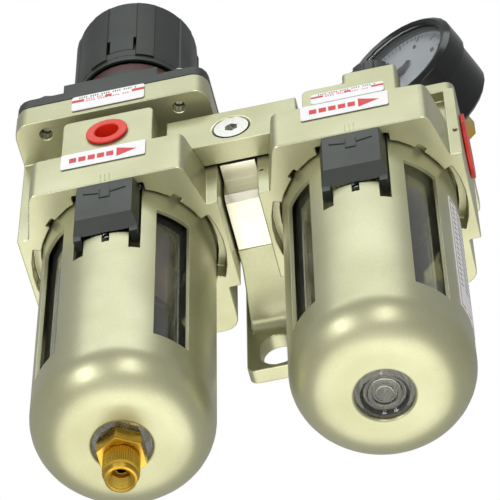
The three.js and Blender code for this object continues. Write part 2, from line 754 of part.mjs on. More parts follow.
function pickupStrainer() {
  const cup = post(4.2, tubeFoot - 6, tubeFoot + 3, { y: 14, segments: 14 });
  const bore = post(2.6, tubeFoot - 3, tubeFoot + 4, { y: 14, segments: 10 });
  return cut(cup, bore, post(1.2, tubeFoot - 7, tubeFoot, { y: 14, segments: 8 }));
}

// ---------------------------------------------------------------- port closures and labels

// A thin push-in cap for a pipe port, drawn for a port that faces +X.
function portCap() {
  const rim = postX(portRadius + 2.2, halfSpan + gap, halfSpan + 1.5);
  const skirt = postX(portRadius - gap, halfSpan - 8, halfSpan + 1);
  return cut(join(rim, skirt), postX(portRadius - 1.5, halfSpan - 9, halfSpan + 0.6));
}

function gaugePortPlug() {
  const rim = postY(7.4, -frontDepth - 1.2, -frontDepth - gap);
  const sleeve = postY(gaugePortRadius - gap, -frontDepth - 1, -frontDepth + 9);
  return cut(join(rim, sleeve), postY(gaugePortRadius - 1.7, -frontDepth - 2, -frontDepth + 8));
}

function frontLabel(x0, x1, z0, z1) {
  return box(x0, x1, -frontDepth - gap - 0.2, -frontDepth - gap, z0, z1);
}

// A sheet label bent round a guard, centred on an azimuth in degrees.
function guardSticker() {
  const inner = guardRadius + gap;
  const outer = inner + 0.2;
  const height = [guardBottom + guardCorner + 12, collarBottom - 14];
  return cut(
    sector(outer, -4, 17, ...height),
    post(inner, height[0] - 1, height[1] + 1, { segments: 60 }),
  );
}

// ---------------------------------------------------------------- what joins the heads

const spacerHalf = spacerGap / 2 - 0.8;
const armHalf = spacerGap / 2 - 0.4;
const grooveDepth = 1.9; // of the spacer's seal grooves
const sealInner = portRadius + 0.1;
const sealOuter = portRadius + 1.4;
const armFront = sealOuter + gap;
const armZ = 19.7;
const clampHalfHeight = 9.1;
const clampFront = portFlangeHalf + 9.1;
const clampBack = portFlangeHalf + 0.8;
const clampHalf = headX - bossHalf - 3;
const clawX = spacerGap / 2 + 4 + gap;
const boltZ = 14.5;
const holderScrewShank = 2.5;
const holderScrewHead = 6.1;
const bracketBoltShank = 2.4;
const bracketBoltHead = 4.8;
const bracketBoltSeat = axisToWall - 12;

function spacer() {
  const chamfer = 2.2;
  const front = -11;
  const back = armFront - gap;
  const side = [
    [front, -20 + chamfer],
    [front + chamfer, -20],
    [back, -20],
    [back, 20],
    [front + chamfer, 20],
    [front, 20 - chamfer],
  ];
  const block = prism(side, -spacerHalf, spacerHalf);
  const upright = block.rotate([90, 0, 90]);
  const nose = box(-spacerHalf, spacerHalf, -portFlangeHalf, front + 1, -clampHalfHeight, clampHalfHeight);
  const bolts = [-boltZ, boltZ].map((z) => postY(bracketBoltShank + 0.2, -6, armFront, { z, segments: 10 }));
  const grooves = [-1, 1].map((end) => {
    const groove = cut(
      postX(sealOuter + gap, -grooveDepth, grooveDepth),
      postX(sealInner - gap, -grooveDepth - 1, grooveDepth + 1),
    );
    return groove.translate([end * spacerHalf, 0, 0]);
  });
  const screwHole = postY(holderScrewShank + 0.2, -portFlangeHalf - 1, -9.2, { segments: 10 });
  return cut(join(upright, nose), postX(7.4, -20, 20), screwHole, ...bolts, ...grooves);
}

function spacerSeal(side) {
  const inner = spacerHalf - grooveDepth + gap;
  const outer = spacerGap / 2 - gap;
  const seal = cut(postX(sealOuter, inner, outer), postX(sealInner, inner - 1, outer + 1));
  return side > 0 ? seal : seal.mirror([1, 0, 0]);
}

function claws(y0, y1, halfHeight) {
  return [-1, 1].map((side) => {
    const claw = box(0, clawWidth, y0, y1, -halfHeight, halfHeight).translate([clawX, 0, 0]);
    return side > 0 ? claw : claw.mirror([1, 0, 0]);
  });
}

function holder() {
  const plate = box(-clampHalf, clampHalf, -clampFront, -clampBack, -clampHalfHeight, clampHalfHeight + 2);
  const mouth = { top: holderScrewShank + 0.9, segments: 32 };
  const sink = postY(holderScrewHead + 0.9, -clampFront - 0.1, -clampFront + 3.6, mouth);
  const hole = postY(holderScrewShank + 0.7, -clampFront - 1, 0, { segments: 14 });
  const grips = claws(-clampBack - 1, -portFlangeHalf + clawDepth - gap, clampHalfHeight - gap);
  return cut(join(plate, ...grips), sink, hole);
}

function holderScrew() {
  const cone = { top: holderScrewShank + 0.1, segments: 32 };
  const head = postY(holderScrewHead, -clampFront + 0.1, -clampFront + 3.5, cone);
  const shank = postY(holderScrewShank, -clampFront + 3, -9.6, { segments: 14 });
  const socket = hexPost(4.2, -clampFront - 1, -clampFront + 2.4).rotate([-90, 0, 0]);
  return cut(join(head, shank), socket);
}

// The T-shaped wall bracket: an arm from the spacer, a foot with two slots, claws behind the flanges.
function wallBracket() {
  const slotHalf = 6.1;
  const slotHeight = 17.2;
  const web = 1.8; // below the slot's end
  const footHalf = slotHalf + 5.1;
  const footThickness = 5.7;
  const footFront = axisToWall - footThickness;
  const flare = mirrored([
    [armHalf, armFront],
    [armHalf, portFlangeHalf + 1],
    [armHalf + 2.6, footFront + 1],
  ]);
  const arm = join(
    prism(flare, -armZ, lubricatorTop - plateThickness - 1),
    box(-armHalf, armHalf, armFront, footFront + 1, -armZ, armZ),
  );
  const tall = bracketHalfHeight;
  const foot = roundedBox(-footHalf, footHalf, -tall, tall, 0, footThickness, 3, 4)
    .rotate([90, 0, 0])
    .translate([0, axisToWall, 0]);
  const fillet = 4;
  const webs = [-1, 1].map((side) => {
    const block = box(-armHalf - 2, armHalf + 2, footFront - fillet, footFront + 1, armZ - 1, armZ + fillet);
    const round = postX(fillet, -20, 20, { y: footFront - fillet, z: armZ + fillet, segments: 24 });
    const shaped = cut(block, round);
    return side > 0 ? shaped : shaped.mirror([0, 0, 1]);
  });
  const barHalf = clawX + clawWidth;
  const crossBar = box(-barHalf, barHalf, clampBack, clampBack + 4.2, -clampHalfHeight, clampHalfHeight);
  const hooks = claws(portFlangeHalf - clawDepth + gap, clampBack + 1, clampHalfHeight);
  const cuts = [];
  const low = bracketHalfHeight - web - slotHeight + slotHalf;
  const high = bracketHalfHeight - web - slotHalf;
  const through = axisToWall + 1;
  for (const side of [-1, 1]) {
    const reach = [side * low, side * high].sort((a, b) => a - b);
    const ends = reach.map((z) => postY(slotHalf, footFront - 1, through, { z, segments: 28 }));
    const middle = box(-slotHalf, slotHalf, footFront - 1, through, ...reach);
    cuts.push(...ends, middle);
    cuts.push(postY(bracketBoltShank + 0.5, 0, through, { z: side * boltZ, segments: 10 }));
    cuts.push(postY(bracketBoltHead + 0.4, bracketBoltSeat, through, { z: side * boltZ, segments: 24 }));
  }
  return cut(join(arm, foot, crossBar, ...webs, ...hooks), ...cuts);
}

function bracketBolt(z) {
  const seat = bracketBoltSeat + gap;
  const head = postY(bracketBoltHead, seat, seat + 5, { z, segments: 24 });
  const shank = postY(bracketBoltShank, -4, seat + 1, { z, segments: 10 });
  const socket = hexPost(4, 0, 3).rotate([-90, 0, 0]).translate([0, seat + 2.6, z]);
  return cut(join(head, shank), socket);
}

// ---------------------------------------------------------------- pressure gauge

// The gauge faces forward and a little to the inlet side. Its parts are drawn about +Z, dial down at z = 0.
const gaugeAzimuth = 25; // degrees from +Y towards +X
const gaugeHeight = 60.4;
const elbowDistance = 32.5;
const gaugeCentre = [
  headX + riser.x - elbowDistance * Math.sin(THREE.MathUtils.degToRad(gaugeAzimuth)),
  riser.y - elbowDistance * Math.cos(THREE.MathUtils.degToRad(gaugeAzimuth)),
  gaugeHeight,
];
const gauge = new THREE.Group();
gauge.position.set(...gaugeCentre);
gauge.rotation.set(-Math.PI / 2, 0, THREE.MathUtils.degToRad(-gaugeAzimuth), "ZYX");
joiningParts.add(gauge);

const lensZ = 1.6;
const dialZ = 6.5;
const stemRadius = 5;

function gaugeCase() {
  const inner = gaugeRadius - 2.2;
  return turned([
    [stemRadius + gap, gaugeDepth - 2],
    [inner - 0.8, gaugeDepth - 2],
    [inner - 0.8, dialZ + 1],
    [inner, dialZ + 1],
    [inner, lensZ - 0.3],
    [inner - 1.5, lensZ - 0.3],
    [inner - 1.5, 0.6],
    [gaugeRadius - 2, 0],
    [gaugeRadius, 1.5],
    [gaugeRadius, 10],
    [gaugeRadius - 1.2, 10.8],
    [gaugeRadius - 1.6, gaugeDepth - 1.5],
    [gaugeRadius - 3, gaugeDepth],
    [stemRadius + gap, gaugeDepth],
    [stemRadius + gap, gaugeDepth - 2],
  ], 30);
}

function gaugeLens() {
  return post(gaugeRadius - 2.5, lensZ, lensZ + 1.8, { segments: 36 });
}

function gaugeDial() {
  return cut(
    post(gaugeRadius - 3.3, dialZ, dialZ + 0.6, { segments: 36 }),
    post(0.9, dialZ - 1, dialZ + 1, { segments: 8 }),
  );
}

// The needle rests at the low end of the scale, down and to the left of the dial's centre.
const needleAngle = 225;

function gaugePointer() {
  const reach = gaugeRadius - 9.5;
  const outline = [[-5, -1], [-5, 1], [0, 1.2], [reach, 0.25], [reach, -0.25], [0, -1.2]];
  const blade = prism(outline, dialZ - 1.3, dialZ - 0.8);
  const hub = post(1.8, dialZ - 1.6, dialZ - 0.6, { segments: 14 });
  const arbor = post(0.6, dialZ - 1, dialZ + 3, { segments: 8 });
  return join(blade, hub, arbor).rotate([0, 0, -needleAngle]);
}

// The brass socket: Bourdon block inside the case, and a square behind it that screws into the elbow.
function gaugeSocket() {
  const block = box(-5, 5, -5, 5, gaugeDepth - 12, gaugeDepth - 2 - gap);
  const neckPost = post(stemRadius, gaugeDepth - 3, gaugeDepth, { segments: 24 });
  const bourdonPath = new THREE.CatmullRomCurve3(
    arc(0, 0, gaugeRadius - 11, 200, -20, 8).map(([x, y]) => new THREE.Vector3(x, y, gaugeDepth - 7)),
  );
  const section = new THREE.Shape(arc(0, 0, 1.2, 0, 288, 4).map(([u, v]) => new THREE.Vector2(u, v)));
  const tube = solid(new THREE.ExtrudeGeometry(section, { steps: 16, extrudePath: bourdonPath }));
  const feed = box(11 - gaugeRadius, -3, -5.5, -3, gaugeDepth - 8, gaugeDepth - 6);
  const spigot = post(4, gaugeDepth, gaugeDepth + 3.5, { segments: 14 });
  const bore = post(1.2, gaugeDepth - 6, gaugeDepth + 5, { segments: 8 });
  return cut(join(block, neckPost, feed, tube, spigot), bore);
}

function gaugeElbow() {
  const start = gaugeDepth + gap;
  const body = hexPost(14, start, elbowDistance + 8);
  const mouth = post(4.3, start - 1, elbowDistance - 2, { segments: 14 });
  const nipple = postY(4.6, 0, gaugeHeight - lubricatorTop - gap, { segments: 24 });
  const nut = hexPost(13, 0, 5).rotate([-90, 0, 0]).translate([0, gaugeHeight - lubricatorTop - 5 - gap, 0]);
  const thread = postY(2.4, 20, gaugeHeight - lubricatorTop + 7, { segments: 10 });
  const down = join(nipple, nut, thread).translate([0, 0, elbowDistance]);
  const bore = postY(1.2, 0, 60, { segments: 8 }).translate([0, 0, elbowDistance]);
  return cut(join(body, down), mouth, bore, post(1.2, start, elbowDistance + 1, { segments: 8 }));
}

// ---------------------------------------------------------------- put together

add(filterSide, "filter_regulator_body", filterRegulatorBody(), finish.champagne);
add(filterSide, "bonnet", bonnet(), finish.slate);
add(filterSide, "regulator_knob", knob(), finish.slate);
add(filterSide, "lock_ring", lockRing(), finish.darkRed);
add(filterSide, "adjusting_screw", adjustingScrew(), finish.steel);
add(filterSide, "spring_seat", springSeat(), finish.steel);
add(filterSide, "regulating_spring", coil(10.8, 1.3, hubTop + gap, seatZ0 - gap, 5.5), finish.steel);
add(filterSide, "diaphragm", diaphragm(), finish.rubber);
add(filterSide, "valve_poppet", poppet(), finish.brass);
add(filterSide, "valve_guide", valveGuide(), finish.brass);
const valveCoil = coil(3.9, 0.45, guideTop + gap, -7.5 - gap, 3, { perTurn: 10 });
add(filterSide, "valve_spring", valveCoil, finish.steel);
bonnetScrewPlaces.forEach(([x, y], i) => {
  add(filterSide, `bonnet_screw_${i + 1}`, bonnetScrew(x, y), finish.steel);
});
add(filterSide, "gauge_port_plug", gaugePortPlug(), finish.red);
add(filterSide, "inlet_cap", portCap().mirror([1, 0, 0]), finish.red);
add(filterSide, "filter_element", filterElement(), finish.sintered);
add(filterSide, "deflector", deflector(), finish.slate);
add(filterSide, "baffle", baffle(), finish.slate);
addBowlSet(filterSide, "filter", filterBowl());
add(filterSide, "drain_body", drainBody(), finish.brass);
add(filterSide, "drain_knob", drainKnob(), finish.brass);
add(filterSide, "regulator_label", frontLabel(-13.4, 12.8, flangeTop - 9.6, flangeTop - 0.3), finish.white);
add(filterSide, "filter_label", frontLabel(-15.8, 13.9, collarTop - 9.6, collarTop - 0.4), finish.white);

add(lubricatorSide, "lubricator_body", lubricatorBody(), finish.champagne);
add(lubricatorSide, "sight_dome", sightDome(), finish.clear);
add(lubricatorSide, "feed_screw", feedScrew(), finish.brass);
add(lubricatorSide, "fill_plug", fillPlugPiece(), finish.slate);
add(lubricatorSide, "flow_damper", flowDamper(), finish.rubber);
add(lubricatorSide, "pickup_tube", pickupTube(), finish.clear);
add(lubricatorSide, "pickup_strainer", pickupStrainer(), finish.sintered);
addBowlSet(lubricatorSide, "lubricator", lubricatorBowl());
add(lubricatorSide, "outlet_cap", portCap(), finish.red);
add(lubricatorSide, "lubricator_type_label", frontLabel(-12.3, 12.9, -9.9, -3.6), finish.white);
add(lubricatorSide, "lubricator_name_label", frontLabel(-16.2, 14, -19.3, -10.4), finish.white);
add(lubricatorSide, "guard_sticker", guardSticker(), finish.white);

add(joiningParts, "spacer", spacer(), finish.aluminium);
add(joiningParts, "spacer_seal_inlet", spacerSeal(-1), finish.rubber);
add(joiningParts, "spacer_seal_outlet", spacerSeal(1), finish.rubber);
add(joiningParts, "holder", holder(), finish.champagne);
add(joiningParts, "holder_screw", holderScrew(), finish.steel);
add(joiningParts, "wall_bracket", wallBracket(), finish.champagne);
[boltZ, -boltZ].forEach((z, i) => {
  add(joiningParts, `bracket_bolt_${i + 1}`, bracketBolt(z), finish.steel);
});

add(gauge, "gauge_case", gaugeCase(), finish.black);
add(gauge, "gauge_lens", gaugeLens(), finish.clear);
add(gauge, "gauge_dial", gaugeDial(), finish.white);
add(gauge, "gauge_pointer", gaugePointer(), finish.black);
add(gauge, "gauge_socket", gaugeSocket(), finish.brass);
add(gauge, "gauge_elbow", gaugeElbow(), finish.brass);

export default assembly;
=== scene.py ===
# %% [markdown]
# # A filter regulator lubricator
# This unit cleans, regulates and oils the air of a workshop line. Two cast heads hang on a wall bracket, each
# with a clear bowl in a sheet-metal guard. The CAD model comes in as a fixed frame, and this lesson gives it
# rounded edges, real finishes and the details that are too fine for the CAD: rolled edges, print and scales.

# %% Load the frame
import json
import math

import bmesh
import bpy
from mathutils import Matrix, Vector

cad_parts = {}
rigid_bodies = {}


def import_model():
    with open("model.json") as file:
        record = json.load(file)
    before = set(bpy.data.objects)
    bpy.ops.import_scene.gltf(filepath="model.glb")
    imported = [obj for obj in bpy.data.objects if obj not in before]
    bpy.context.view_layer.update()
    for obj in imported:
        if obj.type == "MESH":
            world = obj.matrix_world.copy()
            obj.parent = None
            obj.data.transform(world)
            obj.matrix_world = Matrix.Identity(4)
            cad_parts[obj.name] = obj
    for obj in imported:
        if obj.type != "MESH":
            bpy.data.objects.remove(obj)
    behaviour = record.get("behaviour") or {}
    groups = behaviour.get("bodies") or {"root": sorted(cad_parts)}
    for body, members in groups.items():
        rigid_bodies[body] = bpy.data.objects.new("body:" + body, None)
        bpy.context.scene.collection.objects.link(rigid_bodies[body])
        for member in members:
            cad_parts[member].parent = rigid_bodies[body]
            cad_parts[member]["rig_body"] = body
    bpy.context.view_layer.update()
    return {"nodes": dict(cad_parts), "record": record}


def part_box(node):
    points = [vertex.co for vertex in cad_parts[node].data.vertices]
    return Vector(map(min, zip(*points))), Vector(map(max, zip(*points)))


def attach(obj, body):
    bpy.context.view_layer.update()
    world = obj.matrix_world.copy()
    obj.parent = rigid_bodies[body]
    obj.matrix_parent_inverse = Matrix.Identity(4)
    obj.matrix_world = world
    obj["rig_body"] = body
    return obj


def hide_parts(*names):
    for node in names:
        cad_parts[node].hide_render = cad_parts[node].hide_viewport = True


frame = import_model()
scene = bpy.context.scene
MM = 0.001
slot_of = {part["node"]: part["material_slot"] for part in frame["record"]["subparts"]}

# %% [markdown]
# ## Camera
# The unit is looked at from below and in front, which shows the bowls' rounded feet and the undersides of the
# heads. A long lens from one metre keeps the two bowls nearly parallel. The camera could be turned by Euler
# angles, but three axes worked out from azimuth and elevation make a clean matrix.

# %% Camera from azimuth, elevation and roll
azimuth, elevation, roll = (math.radians(a) for a in (12.11, -56.80, -1.13))
distance = 1028.3 * MM
aim = Vector((0.16, -50, -37.93)) * MM
back = Vector((
    math.sin(azimuth) * math.cos(elevation),
    -math.cos(azimuth) * math.cos(elevation),
    math.sin(elevation),
))
level = Vector((math.cos(azimuth), math.sin(azimuth), 0))
right = level * math.cos(roll) + back.cross(level) * math.sin(roll)
above = back.cross(right)
lens = bpy.data.cameras.new("camera")
lens.sensor_width = 36
lens.lens = 219
camera = bpy.data.objects.new("camera", lens)
facing = Matrix((right, above, back)).transposed().to_4x4()
camera.matrix_world = Matrix.Translation(aim + back * distance) @ facing
scene.collection.objects.link(camera)
scene.camera = camera
print("camera at", [round(v, 3) for v in camera.matrix_world.translation])

# %% [markdown]
# ## Colours and nodes
# Colours are written as the sRGB hex values that a colour picker shows, but a shader works on linear light, so
# one helper turns them. The other adds one node with its settings and links, so that a node and whatever feeds
# it are read together. Both serve the surroundings first and the finishes later.


# %% Colour and node helpers
def linear(colour):
    """An sRGB hex colour as the linear values a shader socket expects."""
    channels = [int(colour[i:i + 2], 16) / 255 for i in (1, 3, 5)]
    return [c / 12.92 if c <= 0.04045 else ((c + 0.055) / 1.055) ** 2.4 for c in channels] + [1]


def add(owner, kind, settings=None, inputs=None):
    """Adds one node to a material or world. Inputs are values, or outputs of other nodes to link."""
    tree = owner.node_tree
    made = tree.nodes.new(kind)
    for name, value in (settings or {}).items():
        setattr(made, name, value)
    for name, value in (inputs or {}).items():
        if isinstance(value, bpy.types.NodeSocket):
            tree.links.new(value, made.inputs[name])
        else:
            made.inputs[name].default_value = value
    return made


print("white is", linear("#ffffff"), "and middle grey", [round(v, 2) for v in linear("#808080")])

# %% [markdown]
# ## Light and floor
# A product table has large soft lamps and pale surroundings. Two upright softboxes stand in front, one hangs
# above them, a large warm one lies low behind and brightens the bowls' feet, and one washes the floor. Painted
# metal needs something darker to reflect as well, or it looks like paper, so the surroundings light the unit
# as grey, and only the camera sees them as white. The floor is far below, where the unit's shadow is faint.


# %% Lamps, surroundings and floor
def lamp(name, place, size, power, tint=(1, 1, 1), target=aim):
    """A rectangular lamp at a place given in mm, facing the middle of the unit or another target."""
    light = bpy.data.lights.new(name, "AREA")
    light.shape = "RECTANGLE"
    light.size, light.size_y = size[0] * MM, size[1] * MM
    light.energy = power
    light.color = tint
    holder = bpy.data.objects.new(name, light)
    holder.location = Vector(place) * MM
    holder.rotation_euler = (target - holder.location).to_track_quat("-Z", "Y").to_euler()
    scene.collection.objects.link(holder)


floor_height = -2.3  # metres
floor_reach = 6
room_strength = 0.42

lamp("softbox_left", (-420, -760, -380), (260, 520), 2.4)
lamp("softbox_right", (260, -860, -340), (220, 520), 2.0)
lamp("softbox_top", (0, -620, 560), (900, 380), 2.5, (0.96, 1, 0.98))
lamp("softbox_low", (-60, 330, -900), (1500, 1300), 8, (1, 0.98, 0.9))
lamp("floor_wash", (0, 0, -950), (3000, 3000), 45, target=Vector((0, 0, floor_height)))

world = bpy.data.worlds.new("pale_room")
world.use_nodes = True
room_light = world.node_tree.nodes["Background"]
room_light.inputs["Color"].default_value = (0.97, 0.98, 1, 1)
room_light.inputs["Strength"].default_value = room_strength
backdrop = add(world, "ShaderNodeBackground", {}, {"Color": (1, 1, 1, 1)}).outputs[0]
seen = add(world, "ShaderNodeLightPath").outputs["Is Camera Ray"]
mix = add(world, "ShaderNodeMixShader", {}, {0: seen, 1: room_light.outputs[0], 2: backdrop}).outputs[0]
world.node_tree.links.new(mix, world.node_tree.nodes["World Output"].inputs[0])
scene.world = world
scene.view_settings.view_transform = "Standard"

tile = bmesh.new()
bmesh.ops.create_grid(tile, x_segments=24, y_segments=24, size=floor_reach)
bmesh.ops.translate(tile, verts=tile.verts, vec=(0, 0, floor_height))
floor_mesh = bpy.data.meshes.new("floor")
tile.to_mesh(floor_mesh)
tile.free()
floor = bpy.data.objects.new("floor", floor_mesh)
scene.collection.objects.link(floor)


# %% [markdown]
# ## Materials
# A finish is three things: a colour that wanders a little, a roughness that wanders too, and fine relief. One
# helper lays out the three, with the grain's size given in millimetres, so each finish below only says what it
# really is.


# %% How a finish is laid out
def blank(name, **constants):
    """A material with its shader, whose constant values are set on the shader's own sockets."""
    material = bpy.data.materials.new(name)
    material.use_nodes = True
    shader = material.node_tree.nodes["Principled BSDF"]
    for key, value in constants.items():
        shader.inputs[key.replace("_", " ")].default_value = value
    return material, shader


def surface(name, colours, grain_mm, depth_mm, roughness, stretch=(1, 1, 1), **constants):
    """A finish with a fine grain, a slow drift between two colours, and scuffs in a third.

    The roughness drifts with the colour and rises in the scuffs, and the relief follows the grain.
    """
    drift_mm, scuff_mm = 22, 4
    scuff_start, scuff_full, scuff_cover = 0.64, 0.74, 0.6
    grain_share, scuff_roughness = 0.6, 0.12
    smoothest, roughest = 0.85 * roughness, 1.15 * roughness
    material, shader = blank(name, **constants)
    colour, other, worn = (linear(value) for value in colours)
    place = add(material, "ShaderNodeTexCoord").outputs["Object"]
    coords = add(material, "ShaderNodeMapping", {}, {"Vector": place, "Scale": stretch}).outputs["Vector"]
    size = {"Vector": coords, "Scale": 1 / (grain_mm * MM), "Detail": 3}
    grain = add(material, "ShaderNodeTexNoise", {}, size).outputs["Fac"]
    size = {"Vector": place, "Scale": 1 / (drift_mm * MM), "Detail": 3}
    drift = add(material, "ShaderNodeTexNoise", {}, size).outputs["Fac"]
    size = {"Vector": place, "Scale": 1 / (scuff_mm * MM), "Detail": 8, "Roughness": 0.7}
    patches = add(material, "ShaderNodeTexNoise", {}, size).outputs["Fac"]
    limits = {"From Min": scuff_start, "From Max": scuff_full, "To Max": scuff_cover}
    scuff = add(material, "ShaderNodeMapRange", {}, {"Value": patches, **limits}).outputs["Result"]
    scaled_sum = {"operation": "MULTIPLY_ADD"}
    both = add(material, "ShaderNodeMath", scaled_sum, {0: grain, 1: grain_share, 2: drift}).outputs[0]
    limits = {"From Min": 0.55, "From Max": 1.05}
    shade = add(material, "ShaderNodeMapRange", {}, {"Value": both, **limits}).outputs["Result"]
    tint = add(material, "ShaderNodeMix", {"data_type": "RGBA"}, {0: shade, 6: colour, 7: other}).outputs[2]
    rubbed = add(material, "ShaderNodeMix", {"data_type": "RGBA"}, {0: scuff, 6: tint, 7: worn}).outputs[2]
    limits = {"From Min": 0.5, "From Max": 1.1, "To Min": smoothest, "To Max": roughest}
    sheen = add(material, "ShaderNodeMapRange", {}, {"Value": both, **limits}).outputs["Result"]
    rough = add(material, "ShaderNodeMath", scaled_sum, {0: scuff, 1: scuff_roughness, 2: sheen}).outputs[0]
    height = {"Height": grain, "Distance": depth_mm * MM, "Strength": 1.0}
    relief = add(material, "ShaderNodeBump", {}, height).outputs["Normal"]
    for socket, value in {"Base Color": rubbed, "Roughness": rough, "Normal": relief}.items():
        material.node_tree.links.new(value, shader.inputs[socket])
    return material


# %% [markdown]
# ### Metals
# The heads and guards wear a champagne metallic powder coat: fine aluminium flakes under a clear resin, so
# the base is mostly metallic, under a light coat. The edges are brighter: partly rubbed thin by handling,
# and partly a painted highlight, a lighter coat where a rounded edge catches the light. The spacer is bare
# extruded aluminium, milled along its length. Screws are zinc plated, springs are drawn wire, and the drain
# is turned from free-cutting brass. Each finish is a function, so that its values can be read beside its name.


# %% Metal finishes
def champagne_paint():
    """Metallic powder coat, 0.5 mm flake clusters. Sprayed on cast aluminium."""
    return surface(
        "champagne_metallic_coat", ("#b9b998", "#acab87", "#cbc8aa"), 0.5, 0.006, 0.37,
        Metallic=0.72, Coat_Weight=0.25, Coat_Roughness=0.22,
    )


def champagne_edge_wear_and_highlight():
    """The same coat, lighter along the edges: partly rubbed thin by handling, partly a painted highlight."""
    return surface(
        "champagne_coat_rubbed_and_highlighted", ("#d9d8b8", "#c6c59f", "#ecebd6"), 0.5, 0.006, 0.3,
        Metallic=0.8, Coat_Weight=0.25, Coat_Roughness=0.2,
    )


def bare_aluminium():
    """Extruded bar, milled: streaks 0.4 mm apart run along X."""
    return surface(
        "milled_aluminium", ("#e9e6d2", "#d2cfba", "#b9b6a2"), 0.4, 0.004, 0.34, (0.06, 1, 1), Metallic=1.0,
    )


def zinc_plated_steel():
    """Bright zinc on a pressed screw, a little cloudy."""
    return surface("bright_zinc_plate", ("#dcdcd8", "#bdbdb8", "#8f8f8a"), 0.8, 0.003, 0.27, Metallic=1.0)


def spring_steel():
    """Drawn music wire, oiled."""
    return surface("drawn_spring_wire", ("#8e8e8c", "#6f6f6c", "#54524e"), 0.6, 0.003, 0.3, Metallic=1.0)


def machined_brass():
    """Brass turned on a lathe: rings 0.25 mm apart go round the vertical axis."""
    return surface(
        "turned_brass", ("#dcbc58", "#c7a23f", "#8e6f2c"), 0.25, 0.006, 0.26, (0.1, 0.1, 1), Metallic=1.0,
    )


# %% [markdown]
# ### Plastics, rubber and paper
# The bonnet, knob and latches are glass-filled nylon with a spark-eroded grain. The transit plugs are soft
# polyethylene. The bowls are clear polycarbonate with an index of 1.58, fogged by oil mist so that they
# scatter a little light. The element is sintered beads, so its relief is deep and its colour speckled.


# %% Other finishes
def slate_plastic():
    """Glass-filled nylon, spark-eroded grain of about 0.35 mm."""
    return surface("glass_filled_nylon", ("#20271f", "#191f19", "#3b4239"), 0.35, 0.02, 0.42, IOR=1.53)


def black_plastic():
    """Glossy black ABS of a gauge case, moulded in a polished tool."""
    return surface("black_abs_gloss", ("#060705", "#0b0c0a", "#1b1c18"), 1.5, 0.004, 0.16, IOR=1.54)


def red_plastic():
    """Soft low-density polyethylene, slightly waxy."""
    return surface(
        "red_polyethylene", ("#e2321c", "#cf2413", "#ea5238"), 0.8, 0.01, 0.38,
        IOR=1.51, Subsurface_Weight=0.08, Subsurface_Radius=(0.002, 0.0008, 0.0005),
    )


def lock_ring_red():
    """Red acetal, moulded, its colour darkened almost to black as painted shade for the shadow the ring sits
    in.
    """
    return surface("red_acetal_darkened_as_painted_shade", ("#4a1210", "#3a0d0c", "#5f1d1a"), 0.6, 0.008, 0.42, IOR=1.48)


def nitrile_rubber():
    """Moulded nitrile rubber, matt."""
    return surface("nitrile_rubber", ("#1d1e1d", "#141514", "#2e2f2e"), 0.5, 0.01, 0.75, IOR=1.52)


def sintered_element():
    """Sintered polyethylene beads about 0.45 mm across."""
    return surface("sintered_beads", ("#e9c9b6", "#d3a48d", "#9c6c53"), 0.45, 0.09, 0.85, IOR=1.5)


def clear_polycarbonate():
    """Clear moulded polycarbonate, fogged: most light goes through, some scatters."""
    return surface(
        "clear_polycarbonate", ("#d9dacd", "#c8c9bc", "#b3a48a"), 6, 0.02, 0.04,
        IOR=1.58, Transmission_Weight=0.96,
    )


def gauge_lens_clear():
    """Clear acrylic window of the gauge."""
    return surface(
        "clear_acrylic", ("#f4f7f8", "#eef2f4", "#e4e8ea"), 6, 0.004, 0.04,
        IOR=1.49, Transmission_Weight=1.0,
    )


def printed_label():
    """White polyester film with a satin laminate."""
    return surface("white_label_film", ("#f1f0f0", "#e8e7e8", "#d9d5d0"), 2.5, 0.006, 0.4, IOR=1.5)


def print_ink(name, colour):
    """Screen-printed ink, matt, with the slight mottle of the screen."""
    return surface(name, (colour, colour, "#b9a49c"), 0.4, 0.004, 0.5, IOR=1.5)


# %% [markdown]
# ### Laying the finishes on
# The frame's record says which finish each CAD node has. A dictionary of one material per finish means that
# nodes of the same finish share it. The inks and the lighter edge coat, part wear and part painted highlight,
# belong to pieces that are made further on.

# %% Finishes on the nodes
finishes = {
    maker.__name__: maker() for maker in (
        champagne_paint, bare_aluminium, zinc_plated_steel, spring_steel, machined_brass, slate_plastic,
        black_plastic, red_plastic, lock_ring_red, nitrile_rubber, sintered_element, clear_polycarbonate,
        gauge_lens_clear, printed_label,
    )
}
# A lighter coat for the rounded edges of painted pieces: partly wear, partly a painted highlight.
rubbed_edge_and_highlight = champagne_edge_wear_and_highlight()
red_ink = print_ink("red_ink", "#cf3b3a")
grey_ink = print_ink("grey_ink", "#75706f")
black_ink = print_ink("black_ink", "#232323")
brown_ink = print_ink("brown_ink", "#9a5632")

paper_look, paper_shader = blank("pale_paper_floor", Roughness=0.8)
paper_shader.inputs["Base Color"].default_value = linear("#ececea")
floor_mesh.materials.append(paper_look)

for name, node in frame["nodes"].items():
    node.data.materials.clear()
    node.data.materials.append(finishes[slot_of[name]])
print(len(finishes), "finishes laid on", len(frame["nodes"]), "nodes")

# %% [markdown]
# ## Rounded edges
# No cast, moulded or machined edge is perfectly sharp: it has a radius that catches the light as a thin
# bright line. The CAD solids are exact but knife-edged. Most visible ones are copied, their loose triangles
# are merged and their flat faces made whole, and a Bevel modifier rounds every edge sharper than 35 degrees.
# Weighted normals then keep the big faces flat.


# %% Copies with rounded edges
sharp_angle = 35  # degrees
weld_gap = 0.004 * MM


def show(name, shape, body, slot, look=None, smooth=sharp_angle):
    """Makes an object of a bmesh, at the origin, and hangs it on its body."""
    mesh = bpy.data.meshes.new(name)
    shape.to_mesh(mesh)
    shape.free()
    mesh.materials.append(look or finishes[slot])
    mesh.shade_smooth()
    mesh.set_sharp_from_angle(angle=math.radians(smooth))
    piece = bpy.data.objects.new(name, mesh)
    scene.collection.objects.link(piece)
    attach(piece, body)
    return piece


